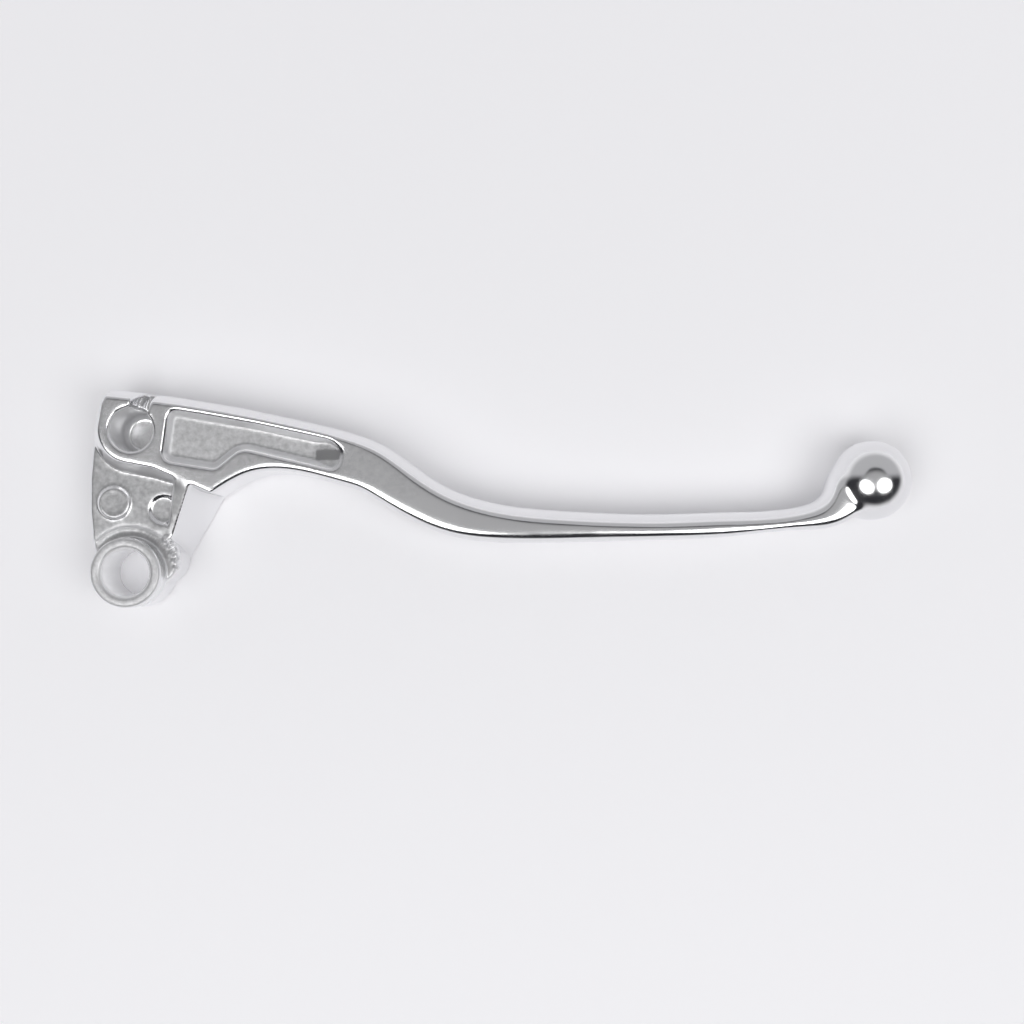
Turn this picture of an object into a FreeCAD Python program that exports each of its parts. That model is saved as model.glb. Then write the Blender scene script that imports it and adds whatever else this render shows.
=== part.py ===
import FreeCAD, Part
import Sketcher
import math
import os

# Motorcycle clutch lever, cast in aluminium as one piece.
# Millimetres and degrees. The origin is the pivot axis on the underside, +Z runs up the pivot bore,
# +X runs along the lever to the ball, and +Y is the side that the fingers pull.

NODE = "clutch_lever"
Vector = FreeCAD.Vector
UP = Vector(0, 0, 1)

# Driving dimensions: name, value, what it is
SIZES = [
    ("hub_thickness", 15.0, "height of the pivot boss and of the arm"),
    ("pivot_bore_diameter", 10.0, "bore for the pivot bolt"),
    ("pivot_boss_diameter", 15.0, "boss round the pivot bore"),
    ("pivot_chamfer", 0.7, "chamfer at both mouths of the pivot bore"),
    ("boss_bevel", 0.4, "bevel round the top of the boss"),
    ("spot_face_diameter", 20.0, "cutter ring round the pivot boss"),
    ("spot_face_depth", 0.6, "ring depth below the web"),
    ("web_height", 11.0, "height of the web between boss and arm"),
    ("swell_diameter", 11.2, "round swell that widens the web beside the boss"),
    ("swell_x", 4.9, "swell along the lever"),
    ("swell_y", 3.1, "swell from the pivot axis"),
    ("web_left", 8.5, "left edge of the web from the pivot axis"),
    ("web_edge_low", 13.0, "lower end of the web's straight left edge"),
    ("web_edge_high", 20.2, "upper end of the web's straight left edge"),
    ("cable_x", 1.2, "cable nipple seat along the lever"),
    ("cable_y", 30.3, "cable nipple seat from the pivot axis"),
    ("nipple_bore_diameter", 9.2, "seat for the cable nipple"),
    ("nipple_depth", 12.0, "depth of the nipple seat"),
    ("nipple_chamfer", 0.4, "chamfer at the mouth of the nipple seat"),
    ("nipple_floor_bevel", 1.0, "bevel at the floor of the nipple seat"),
    ("slot_heading", 70.0, "direction of the cable slot from +X"),
    ("slot_mouth_width", 4.0, "cable slot at the top face"),
    ("slot_floor_width", 1.8, "cable slot at its floor"),
    ("slot_depth", 8.0, "depth of the cable slot"),
    ("arm_end_radius", 7.0, "top of the arm round the nipple seat"),
    ("arm_end_start", 170.0, "where the round of the arm's end starts"),
    ("arm_end_finish", 255.0, "where the round of the arm's end finishes"),
    ("arm_corner_x", -4.85, "front corner of the arm's end, at the top"),
    ("arm_corner_y", 36.5, "the same corner from the pivot axis"),
    ("arm_corner_run", 1.2, "how far that corner slopes out on its way down to the web"),
    ("step_run", 2.0, "how far the arm's end slopes out on its way down to the web"),
    ("shoulder_x", 5.8, "bend in the rear edge of the arm's end"),
    ("shoulder_y", 22.3, "the same bend from the pivot axis"),
    ("front_x", -4.3, "left end of the front edge"),
    ("front_y", 39.65, "left end of the front edge from the pivot axis"),
    ("sweep_radius", 315.0, "front edge of the arm"),
    ("arm_heading", -5.59, "front edge at the left end"),
    ("notch_heading", -10.4, "front edge opposite the notch"),
    ("arm_heading_end", -15.3, "front edge where the bend starts"),
    ("outer_bend_radius", 32.0, "first half of the bend, along the front"),
    ("bend_heading", -40.0, "steepest heading of the bend"),
    ("inner_bend_radius", 40.0, "second half of the bend, along the front"),
    ("blade_heading", -6.5, "front edge where the blade starts"),
    ("blade_length", 63.04, "front edge of the blade, along its arc"),
    ("tip_heading", 6.4, "front edge where the neck starts"),
    ("arm_width", 12.3, "arm beside the panel recess, seen from above"),
    ("notch_flare", 7.3, "extra width of the arm at the notch"),
    ("flare_turn", 2.1, "length of the flare as a turn of the front edge"),
    ("bend_entry_width", 11.3, "width where the bend starts"),
    ("bend_width", 10.7, "width in the middle of the bend"),
    ("blade_root_width", 8.0, "width where the blade starts"),
    ("blade_mid_width", 5.6, "width at the middle of the blade"),
    ("blade_tip_width", 5.2, "width at the end of the blade"),
    ("neck_width", 7.3, "width where the neck turns to the ball"),
    ("bend_height", 14.4, "height in the middle of the bend"),
    ("blade_root_height", 13.4, "height where the blade starts"),
    ("blade_tip_height", 10.6, "height at the end of the blade"),
    ("neck_height", 11.2, "height where the neck turns to the ball"),
    ("arm_bulge", 2.3, "how far the front of the arm bows out"),
    ("blade_bulge", 2.8, "how far the front of the blade bows out"),
    ("arm_crease", 0.8, "round between top and front on the arm"),
    ("blade_crease", 1.0, "round between top and front on the blade"),
    ("arm_rear_round", 1.3, "round along the rear edges of the arm"),
    ("blade_rear_round", 1.9, "round along the rear edges of the blade"),
    ("ball_diameter", 17.3, "ball at the end of the lever"),
    ("ball_reach", 15.1, "ball centre past the end of the blade"),
    ("ball_rise", 5.4, "ball centre forward of the end of the blade's front"),
    ("notch_wall_offset", 7.7, "foot of the sloped side wall from the pivot axis"),
    ("wall_slope", 19.0, "lean of the side wall"),
    ("rib_root_x", 10.4, "left side of the rib at the arm"),
    ("rib_root_y", 20.6, "left side of the rib at the arm, from the pivot axis"),
    ("rib_tip_x", 7.9, "tip of the rib"),
    ("rib_tip_y", 8.9, "tip of the rib from the pivot axis"),
    ("ejector_pad_diameter", 7.2, "round pad on the web"),
    ("ejector_pad_height", 0.9, "height of the round pad's rim"),
    ("ejector_pad_rim", 0.5, "width of each slope of the rim"),
    ("ejector_pad_sink", 0.35, "middle of the pad below its rim"),
    ("ejector_pad_x", -3.3, "round pad along the lever"),
    ("ejector_pad_y", 14.9, "round pad from the pivot axis"),
    ("dimple_diameter", 6.6, "round recess beside the rib"),
    ("dimple_depth", 0.7, "depth of the round recess"),
    ("dimple_x", 7.2, "round recess along the lever"),
    ("dimple_y", 13.5, "round recess from the pivot axis"),
    ("recess_depth", 1.8, "panel recess in the top of the arm"),
    ("recess_lean", 40.0, "lean of the recess walls"),
    ("recess_front", 2.9, "recess from the front edge"),
    ("recess_front_right", 2.6, "the same at the right end of the recess"),
    ("recess_wide", 14.6, "wide end of the recess from the front edge"),
    ("recess_narrow", 9.3, "narrow end of the recess from the front edge"),
    ("recess_left", -8.1, "left wall of the recess, as a heading of the front edge"),
    ("recess_step", -10.3, "where the recess starts to narrow, as a heading of the front edge"),
    ("recess_slant", 0.85, "length of the narrowing, as a turn of the front edge"),
    ("recess_right", -15.2, "right wall of the recess, as a heading of the front edge"),
    ("recess_corner", 2.2, "corners of the recess"),
    ("recess_cut", 2.0, "slanting cut at the front right corner of the recess, across the arm"),
    ("recess_cut_turn", 0.75, "the same cut along the arm, as a turn of the front edge"),
    ("ramp_length", 6.3, "ramp that the right end of the recess rises by"),
    ("ramp_lip", 0.3, "top of the ramp below the top of the arm"),
]

DEGREES_PER_RADIAN = math.degrees(1.0)
QUARTER_TURN = 90.0

# Proportions that no single size sets
OVERLAP = 0.2              # how far one form reaches into the next, in millimetres
CLEARANCE = 1.0            # how far a cutter stands out of the metal, in millimetres
ARM_END_SHARE = 0.4        # how far the arm's end reaches under the bar, of the arm's width
FLARE_SHARES = (0.0, 0.3, 0.62, 1.0)
FLARE_POWER = 1.5          # how fast the flare dies away
BLADE_SHARES = (0.0, 0.25, 0.5, 0.75, 1.0)
BLADE_POWER = 1.4          # how fast the blade narrows
LIFT_SHARE = 0.6           # how far the blade's middle rises to the level of the ball's centre
FLAT_SHARE = 0.5           # the most that the rear round takes of the flat top
NECK_SPOT = (0.72, 0.34)   # the neck on its way from the blade to the collar
NECK_TURN = 9.0
COLLAR_SPOT = (-1.04, 0.18)
COLLAR_FORM = (1.22, 1.34)
COLLAR_TURN = 24.0
ROOT_SPOT = (-0.7, 0.25)
ROOT_FORM = (1.15, 1.1)
ROOT_TURN = 27.0


class Size:
    """A number together with the sheet formula that gives it."""

    def __init__(self, number, formula):
        self.number = float(number)
        self.formula = formula

    def __add__(self, other):
        return Size(self.number + number(other), "(%s + %s)" % (self.formula, formula(other)))

    def __sub__(self, other):
        return Size(self.number - number(other), "(%s - %s)" % (self.formula, formula(other)))

    def __mul__(self, other):
        return Size(self.number * number(other), "(%s * %s)" % (self.formula, formula(other)))

    def __truediv__(self, other):
        return Size(self.number / number(other), "(%s / %s)" % (self.formula, formula(other)))

    def __neg__(self):
        return Size(-self.number, "(0 - %s)" % self.formula)


def number(value):
    """The plain number of a Size or of a number."""
    return value.number if isinstance(value, Size) else float(value)


def formula(value):
    """The sheet formula of a Size, or the number written out."""
    return value.formula if isinstance(value, Size) else "(%r)" % float(value)


def sine(angle):
    """Sine of an angle in degrees."""
    return Size(math.sin(math.radians(number(angle))), "sin(%s)" % formula(angle))


def cosine(angle):
    """Cosine of an angle in degrees."""
    return Size(math.cos(math.radians(number(angle))), "cos(%s)" % formula(angle))


def tangent(angle):
    """Tangent of an angle in degrees."""
    return Size(math.tan(math.radians(number(angle))), "tan(%s)" % formula(angle))


def direction(across, up):
    """The heading of a step, in degrees."""
    turn = math.degrees(math.atan2(number(up), number(across)))
    return Size(turn, "(atan2(%s; %s) / 1 deg)" % (formula(up), formula(across)))


def root(value):
    """Square root."""
    return Size(math.sqrt(number(value)), "sqrt(%s)" % formula(value))


def least(first, second):
    """The smaller of two sizes."""
    return Size(min(number(first), number(second)), "min(%s; %s)" % (formula(first), formula(second)))


def blend(first, last, share):
    """A size part of the way from one size to another."""
    return first + (last - first) * share


# Document, sheet and body
doc = FreeCAD.newDocument(NODE)
sheet = doc.addObject("Spreadsheet::Sheet", "sizes")
size = {}
for row, (alias, value, note) in enumerate(SIZES, start=1):
    sheet.set("A%d" % row, note)
    sheet.set("B%d" % row, str(value))
    sheet.setAlias("B%d" % row, alias)
    size[alias] = Size(value, "sizes.%s" % alias)
doc.recompute()

body = doc.addObject("PartDesign::Body", NODE)
body.Label = NODE
planes = {feature.Role: feature for feature in body.Origin.OriginFeatures}


def bind(target, path, value):
    """Set a property from its sheet formula."""
    target.setExpression(path, formula(value))


def new_sketch(name, plane, base=(0.0, 0.0, 0.0), turn=0.0):
    """A sketch on an origin plane, moved by base and turned about the lever's upright."""
    sketch = body.newObject("Sketcher::SketchObject", name)
    sketch.AttachmentSupport = [(planes[plane], "")]
    sketch.MapMode = "FlatFace"
    upright = UP if plane == "XY_Plane" else Vector(0, 1, 0)
    start = Vector(*[number(part) for part in base])
    sketch.AttachmentOffset = FreeCAD.Placement(start, FreeCAD.Rotation(upright, number(turn)))
    for letter, part in zip("xyz", base):
        if isinstance(part, Size):
            bind(sketch, "AttachmentOffset.Base.%s" % letter, part)
    if isinstance(turn, Size):
        bind(sketch, "AttachmentOffset.Rotation.Angle", turn)
    return sketch


def upright_sketch(name, point=(0.0, 0.0), level=0.0, turn=0.0):
    """A sketch that stands upright over a point of the plan, facing across a heading."""
    return new_sketch(name, "XZ_Plane", (point[0], level, Size(0.0, "0") - point[1]), turn)


def flat(point):
    """A sketch point from a pair of sizes."""
    return Vector(number(point[0]), number(point[1]), 0)


def pin(sketch, kind, value, *places):
    """Add a constraint whose value comes from its sheet formula."""
    index = sketch.addConstraint(Sketcher.Constraint(kind, *places, number(value)))
    if isinstance(value, Size):
        bind(sketch, "Constraints[%d]" % index, value)


def pin_point(sketch, edge, end, point):
    """Hold one end of an edge at a pair of sizes from the sketch origin."""
    for kind, value in (("DistanceX", point[0]), ("DistanceY", point[1])):
        pin(sketch, kind, value, -1, 1, edge, end)


def close(sketch, kind, count):
    """Join each of the first edges to the next, and the last to the first."""
    for index in range(count):
        sketch.addConstraint(Sketcher.Constraint(kind, index, 2, (index + 1) % count, 1))


def polygon(sketch, points):
    """A closed outline of straight edges through points, each held by its sizes."""
    count = len(points)
    for index in range(count):
        start = flat(points[index])
        finish = flat(points[(index + 1) % count])
        sketch.addGeometry(Part.LineSegment(start, finish), False)
    close(sketch, "Coincident", count)
    for index in range(count):
        pin_point(sketch, index, 1, points[index])
    return sketch


def rounded_polygon(sketch, points, radius):
    """A closed outline of straight edges through points, with its corners rounded."""
    corners = [flat(point) for point in points]
    count = len(corners)
    rounds = []
    for index in range(count):
        here = corners[index]
        before = (corners[index - 1] - here).normalize()
        after = (corners[(index + 1) % count] - here).normalize()
        half_turn = before.getAngle(after) / 2
        reach = number(radius) / math.tan(half_turn)
        inside = (before + after).normalize()
        crown = here + inside * (number(radius) / math.sin(half_turn) - number(radius))
        hollow = before.cross(after).z > 0
        rounds.append((here + before * reach, crown, here + after * reach, hollow))
    for index in range(count):
        start, crown, finish, hollow = rounds[index]
        sketch.addGeometry(Part.Arc(start, crown, finish), False)
        sketch.addGeometry(Part.LineSegment(finish, rounds[(index + 1) % count][0]), False)
    for index in range(count):
        arc, line, line_before = 2 * index, 2 * index + 1, (2 * index - 1) % (2 * count)
        enter, leave = (2, 1) if rounds[index][3] else (1, 2)
        sketch.addConstraint(Sketcher.Constraint("Tangent", line_before, 2, arc, enter))
        sketch.addConstraint(Sketcher.Constraint("Tangent", arc, leave, line, 1))
        pin(sketch, "Radius", radius, arc)
        corner = sketch.addGeometry(Part.Point(corners[index]), True)
        pin_point(sketch, corner, 1, points[index])
        sketch.addConstraint(Sketcher.Constraint("PointOnObject", corner, 1, line_before))
        sketch.addConstraint(Sketcher.Constraint("PointOnObject", corner, 1, line))
    return sketch


def feature(kind, name, sketch, length=None, back=False):
    """A feature made from a sketch, with its length if it has one."""
    made = body.newObject("PartDesign::" + kind, name)
    made.Profile = sketch
    if length is not None:
        bind(made, "Length", length)
    if back:
        made.Reversed = True
    return made


def spin(kind, name, sketch, axis="V_Axis", angle=360.0, back=False):
    """Revolve a sketch about one of its own axes."""
    made = feature(kind, name, sketch, back=back)
    made.ReferenceAxis = (sketch, [axis])
    bind(made, "Angle", angle)
    return made


# Plan of the lever: the front edge is a chain of tangent arcs
hub_thickness = size["hub_thickness"]
web_height = size["web_height"]
middle = hub_thickness / 2
boss_radius = size["pivot_boss_diameter"] / 2
ball_radius = size["ball_diameter"] / 2
seat = (size["cable_x"], size["cable_y"])
front_start = (size["front_x"], size["front_y"])


def right_turn(start, radius, heading, next_heading):
    """The point after a right-hand arc from one heading to the next."""
    return (start[0] + radius * (sine(heading) - sine(next_heading)),
            start[1] + radius * (cosine(next_heading) - cosine(heading)))


def left_turn(start, radius, heading, next_heading):
    """The point after a left-hand arc from one heading to the next."""
    return (start[0] + radius * (sine(next_heading) - sine(heading)),
            start[1] + radius * (cosine(heading) - cosine(next_heading)))


def arm_front(heading):
    """The front edge of the arm where it has a given heading."""
    return right_turn(front_start, size["sweep_radius"], size["arm_heading"], heading)


def outer_bend(heading):
    """The front edge of the first half of the bend."""
    start = arm_front(size["arm_heading_end"])
    return right_turn(start, size["outer_bend_radius"], size["arm_heading_end"], heading)


def inner_bend(heading):
    """The front edge of the second half of the bend."""
    start = outer_bend(size["bend_heading"])
    return left_turn(start, size["inner_bend_radius"], size["bend_heading"], heading)


def blade_front(heading):
    """The front edge of the blade."""
    start = inner_bend(size["blade_heading"])
    radius = size["blade_length"] * DEGREES_PER_RADIAN / (size["tip_heading"] - size["blade_heading"])
    return left_turn(start, radius, size["blade_heading"], heading)


def arm_point(heading, distance):
    """A point of the arm from a heading of the front edge and a distance behind it."""
    point = arm_front(heading)
    return (point[0] + distance * sine(heading), point[1] - distance * cosine(heading))


notch_corner = arm_point(size["notch_heading"], size["arm_width"] + size["notch_flare"])
corner_reach = root(notch_corner[0] * notch_corner[0] + notch_corner[1] * notch_corner[1])
wall_offset = size["notch_wall_offset"]
wall_length = root(corner_reach * corner_reach - wall_offset * wall_offset)
wall_heading = direction(notch_corner[0], notch_corner[1]) + direction(wall_length, wall_offset)
wall_foot = (wall_offset * sine(wall_heading), -(wall_offset * cosine(wall_heading)))

# Web between the pivot boss and the arm
end_reach = size["arm_end_radius"] + size["step_run"]
web_sketch = polygon(new_sketch("web_outline", "XY_Plane"), [
    wall_foot,
    notch_corner,
    (notch_corner[0], seat[1]),
    seat,
    (seat[0] - end_reach + OVERLAP, seat[1]),
    (-size["web_left"], size["web_edge_high"]),
    (-size["web_left"], size["web_edge_low"]),
    (-boss_radius + OVERLAP, 0.0),
])
feature("Pad", "web", web_sketch, web_height)

# Gusset rib that falls from the arm to the web, beside the sloped side wall
rib_root = (size["rib_root_x"], size["rib_root_y"])
rib_tip = (size["rib_tip_x"], size["rib_tip_y"])


def beside_wall(point):
    """A point's place along the side wall and its distance inside the wall."""
    step = (point[0] - wall_foot[0], point[1] - wall_foot[1])
    along = step[0] * cosine(wall_heading) + step[1] * sine(wall_heading)
    inside = step[1] * cosine(wall_heading) - step[0] * sine(wall_heading)
    return along, inside


tip_along, tip_inside = beside_wall(rib_tip)
root_along = beside_wall(rib_root)[0]
tip_abreast = (rib_tip[0] + tip_inside * sine(wall_heading),
               rib_tip[1] - tip_inside * cosine(wall_heading))
rib_sketch = polygon(new_sketch("rib_outline", "XY_Plane"), [
    rib_tip,
    tip_abreast,
    notch_corner,
    (notch_corner[0], rib_root[1]),
    rib_root,
])
feature("Pad", "rib", rib_sketch, hub_thickness)

rib_fall = (root_along - tip_along) / (hub_thickness - web_height)
fall_sketch = polygon(upright_sketch("rib_fall_profile", wall_foot, 0.0, wall_heading), [
    (tip_along, web_height),
    (root_along + rib_fall * CLEARANCE, hub_thickness + CLEARANCE),
    (tip_along, hub_thickness + CLEARANCE),
])
feature("Pocket", "rib_fall", fall_sketch, corner_reach)

wall_lean = tangent(size["wall_slope"])
slope_sketch = polygon(upright_sketch("wall_slope_profile", (0.0, 0.0), 0.0, wall_heading - QUARTER_TURN), [
    (wall_offset + wall_lean * CLEARANCE, -CLEARANCE),
    (wall_offset + corner_reach, -CLEARANCE),
    (wall_offset + corner_reach, hub_thickness + CLEARANCE),
    (wall_offset - wall_lean * (hub_thickness + CLEARANCE), hub_thickness + CLEARANCE),
])
feature("Pocket", "wall_slope", slope_sketch, corner_reach * 2)


# End of the arm round the cable nipple seat, sloping out to the web
def end_outline(name, level, run, corner_run):
    """Outline of the arm's end at one level: round the seat, along the rear edge to the notch."""
    sketch = new_sketch(name, "XY_Plane", (0.0, 0.0, level))
    start, finish = size["arm_end_start"], size["arm_end_finish"]
    radius = size["arm_end_radius"] + run
    inner = size["arm_width"] * ARM_END_SHARE
    first = (size["arm_corner_x"] - corner_run, size["arm_corner_y"])
    last = arm_point(size["notch_heading"], inner)
    rise = (seat[0] + radius * cosine(start), seat[1] + radius * sine(start))
    fall = (seat[0] + radius * cosine(finish), seat[1] + radius * sine(finish))
    shoulder = (size["shoulder_x"] + cosine(finish) * run, size["shoulder_y"] + sine(finish) * run)
    angles = [math.radians(number(angle)) for angle in (start, finish)]
    edges = [
        Part.LineSegment(flat(first), flat(rise)),
        Part.ArcOfCircle(Part.Circle(flat(seat), UP, number(radius)), *angles),
        Part.LineSegment(flat(fall), flat(shoulder)),
        Part.LineSegment(flat(shoulder), flat(notch_corner)),
        Part.LineSegment(flat(notch_corner), flat(last)),
        Part.LineSegment(flat(last), flat(first)),
    ]
    sketch.addGeometry(edges, False)
    close(sketch, "Coincident", len(edges))
    pin_point(sketch, 1, 3, seat)
    for edge, point in enumerate((first, rise, fall, shoulder, notch_corner, last)):
        if edge == 1:
            pin(sketch, "DistanceY", point[1], -1, 1, edge, 1)
            pin(sketch, "Radius", radius, edge)
        elif edge == 2:
            pin(sketch, "DistanceX", point[0], -1, 1, edge, 1)
        else:
            pin_point(sketch, edge, 1, point)
    return sketch


foot_sketch = end_outline("arm_end_foot", web_height, size["step_run"], size["arm_corner_run"])
top_sketch = end_outline("arm_end_top", hub_thickness, 0.0, 0.0)
feature("Pad", "arm_end", foot_sketch, web_height, back=True)
step = feature("AdditiveLoft", "arm_step", foot_sketch)
step.Sections = [top_sketch]
step.Ruled = True


# Cross-section of the arm and the blade, by the order of its edges
FOOT, REAR_FOOT, REAR, REAR_TOP, TOP, CREASE, BOW, CREASE_FOOT = range(8)


def turning_arc(centre, radius, start, finish):
    """A counter-clockwise arc between two points of a circle."""
    angles = [math.atan2(point.y - centre.y, point.x - centre.x) for point in (start, finish)]
    if angles[1] <= angles[0]:
        angles[1] += 2 * math.pi
    return Part.ArcOfCircle(Part.Circle(centre, UP, number(radius)), *angles)


def section_sketch(name, point, heading, width, height, share):
    """A bar section square to the front edge: bowed front, flat top and foot, rounded rear."""
    level = blend(middle, ball_radius, LIFT_SHARE * share)
    sketch = upright_sketch(name, point, level, heading - QUARTER_TURN)
    bulge = blend(size["arm_bulge"], size["blade_bulge"], share)
    crease = blend(size["arm_crease"], size["blade_crease"], share)
    half = height / 2
    bow = (half * half + bulge * bulge) / (bulge * 2)
    lean = root((bow - crease) * (bow - crease) - (half - crease) * (half - crease))
    turn = bow - lean
    reach = bow / (bow - crease)
    rear = least(blend(size["arm_rear_round"], size["blade_rear_round"], share),
                 (width - turn) * FLAT_SHARE)
    top, back = number(half), number(width - rear)
    side, crease_level = number(half - rear), number(half - crease)
    bow_touch = Vector(number(bow - lean * reach), number((half - crease) * reach), 0)
    bow_foot = Vector(bow_touch.x, -bow_touch.y, 0)
    front, rear_face = number(turn), number(width)
    edges = [
        Part.LineSegment(Vector(front, -top, 0), Vector(back, -top, 0)),
        turning_arc(Vector(back, -side, 0), rear, Vector(back, -top, 0), Vector(rear_face, -side, 0)),
        Part.LineSegment(Vector(rear_face, -side, 0), Vector(rear_face, side, 0)),
        turning_arc(Vector(back, side, 0), rear, Vector(rear_face, side, 0), Vector(back, top, 0)),
        Part.LineSegment(Vector(back, top, 0), Vector(front, top, 0)),
        turning_arc(Vector(front, crease_level, 0), crease, Vector(front, top, 0), bow_touch),
        turning_arc(Vector(number(bow), 0, 0), bow, bow_touch, bow_foot),
        turning_arc(Vector(front, -crease_level, 0), crease, bow_foot, Vector(front, -top, 0)),
    ]
    sketch.addGeometry(edges, False)
    close(sketch, "Tangent", len(edges))
    for edge in (FOOT, TOP):
        sketch.addConstraint(Sketcher.Constraint("Horizontal", edge))
    sketch.addConstraint(Sketcher.Constraint("Vertical", REAR))
    sketch.addConstraint(Sketcher.Constraint("PointOnObject", BOW, 3, -1))
    pin(sketch, "DistanceX", bow, -1, 1, BOW, 3)
    pin(sketch, "Radius", bow, BOW)
    for edge, radius in ((CREASE, crease), (CREASE_FOOT, crease), (REAR_FOOT, rear), (REAR_TOP, rear)):
        pin(sketch, "Radius", radius, edge)
    pin(sketch, "DistanceX", width, -1, 1, REAR, 1)
    pin(sketch, "DistanceY", half, -1, 1, TOP, 1)
    pin(sketch, "DistanceY", -half, -1, 1, FOOT, 1)
    return sketch


# Arm with its bowed front, up to the notch
bar_sketch = section_sketch("arm_section", front_start, size["arm_heading"],
                            size["arm_width"], hub_thickness, 0.0)
centre_line = Part.LineSegment(flat((size["sweep_radius"], 0.0)), flat((size["sweep_radius"], 1.0)))
axis_edge = bar_sketch.addGeometry(centre_line, True)
bar_sketch.addConstraint(Sketcher.Constraint("Vertical", axis_edge))
pin_point(bar_sketch, axis_edge, 1, (size["sweep_radius"], 0.0))
pin(bar_sketch, "DistanceY", 1.0, axis_edge, 1, axis_edge, 2)
spin("Revolution", "arm_bar", bar_sketch, "Axis0",
     size["arm_heading"] - size["notch_heading"], back=True)

# Flare, bend, blade and neck: name, front point, heading, width, height, share of the blade's shape
stations = []
for index, share in enumerate(FLARE_SHARES):
    heading = size["notch_heading"] - size["flare_turn"] * share
    width = size["arm_width"] + size["notch_flare"] * (1 - share) ** FLARE_POWER
    stations.append(("flare_section_%d" % index, arm_front(heading), heading, width, hub_thickness, 0.0))

entry_heading, bend_heading = size["arm_heading_end"], size["bend_heading"]
outer_heading = blend(entry_heading, bend_heading, 0.5)
inner_heading = blend(bend_heading, size["blade_heading"], 0.5)
stations += [
    ("bend_entry", arm_front(entry_heading), entry_heading, size["bend_entry_width"],
     blend(hub_thickness, size["bend_height"], 0.15), 0.05),
    ("outer_bend", outer_bend(outer_heading), outer_heading,
     blend(size["bend_entry_width"], size["bend_width"], 0.5),
     blend(hub_thickness, size["bend_height"], 0.5), 0.15),
    ("bend_middle", outer_bend(bend_heading), bend_heading, size["bend_width"],
     size["bend_height"], 0.3),
    ("inner_bend", inner_bend(inner_heading), inner_heading,
     blend(size["bend_width"], size["blade_root_width"], 0.4),
     blend(size["bend_height"], size["blade_root_height"], 0.5), 0.5),
]
for index, share in enumerate(BLADE_SHARES):
    heading = blend(size["blade_heading"], size["tip_heading"], share)
    if share < 0.5:
        width = blend(size["blade_mid_width"], size["blade_root_width"], (1 - share * 2) ** BLADE_POWER)
    else:
        width = blend(size["blade_tip_width"], size["blade_mid_width"], (2 - share * 2) ** BLADE_POWER)
    stations.append(("blade_section_%d" % index, blade_front(heading), heading, width,
                     blend(size["blade_root_height"], size["blade_tip_height"], share),
                     0.7 + 0.3 * share))

tip_front = blade_front(size["tip_heading"])
ball_centre = (tip_front[0] + size["ball_reach"], tip_front[1] + size["ball_rise"])


def ball_point(spot):
    """A point of the plan from the ball's centre, in ball radii."""
    return (ball_centre[0] + ball_radius * spot[0], ball_centre[1] + ball_radius * spot[1])


collar_front = ball_point(COLLAR_SPOT)
neck_front = tuple(blend(tip, collar, share)
                   for tip, collar, share in zip(tip_front, collar_front, NECK_SPOT))
stations += [
    ("neck_section", neck_front, size["tip_heading"] + NECK_TURN,
     size["neck_width"], size["neck_height"], 1.0),
    ("collar_section", collar_front, size["tip_heading"] + COLLAR_TURN,
     ball_radius * COLLAR_FORM[0], ball_radius * COLLAR_FORM[1], 1.0),
    ("ball_root_section", ball_point(ROOT_SPOT), size["tip_heading"] + ROOT_TURN,
     ball_radius * ROOT_FORM[0], ball_radius * ROOT_FORM[1], 1.0),
]
sections = [section_sketch(*station) for station in stations]
blade = feature("AdditiveLoft", "bend_and_blade", sections[0])
blade.Sections = sections[1:]

# Ball at the end of the lever
ball_sketch = upright_sketch("ball_profile", ball_centre, ball_radius)
ball_top = Vector(0, number(ball_radius), 0)
half_circle = Part.Circle(Vector(0, 0, 0), UP, number(ball_radius))
ball_sketch.addGeometry(Part.ArcOfCircle(half_circle, -math.pi / 2, math.pi / 2), False)
ball_sketch.addGeometry(Part.LineSegment(ball_top, -ball_top), False)
close(ball_sketch, "Coincident", 2)
ball_sketch.addConstraint(Sketcher.Constraint("Coincident", 0, 3, -1, 1))
ball_sketch.addConstraint(Sketcher.Constraint("PointOnObject", 1, 1, -2))
ball_sketch.addConstraint(Sketcher.Constraint("PointOnObject", 1, 2, -2))
pin(ball_sketch, "Radius", ball_radius, 0)
spin("Revolution", "ball", ball_sketch)

# Round swell that stands out of the side wall beside the boss
swell_radius = size["swell_diameter"] / 2
swell_sketch = polygon(upright_sketch("swell_profile", (size["swell_x"], size["swell_y"])), [
    (0.0, 0.0),
    (swell_radius, 0.0),
    (swell_radius, web_height),
    (0.0, web_height),
])
spin("Revolution", "hub_swell", swell_sketch)

# Pivot boss, with the ring that the facing cutter left round it
boss_bevel = size["boss_bevel"]
boss_sketch = polygon(upright_sketch("pivot_boss_profile"), [
    (0.0, 0.0),
    (boss_radius, 0.0),
    (boss_radius, hub_thickness - boss_bevel),
    (boss_radius - boss_bevel, hub_thickness),
    (0.0, hub_thickness),
])
spin("Revolution", "pivot_boss", boss_sketch)

ring_floor = web_height - size["spot_face_depth"]
ring_radius = size["spot_face_diameter"] / 2
ring_sketch = polygon(upright_sketch("spot_face_profile"), [
    (boss_radius, ring_floor),
    (ring_radius, ring_floor),
    (ring_radius, hub_thickness + CLEARANCE),
    (boss_radius, hub_thickness + CLEARANCE),
])
spin("Groove", "spot_face", ring_sketch)

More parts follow.
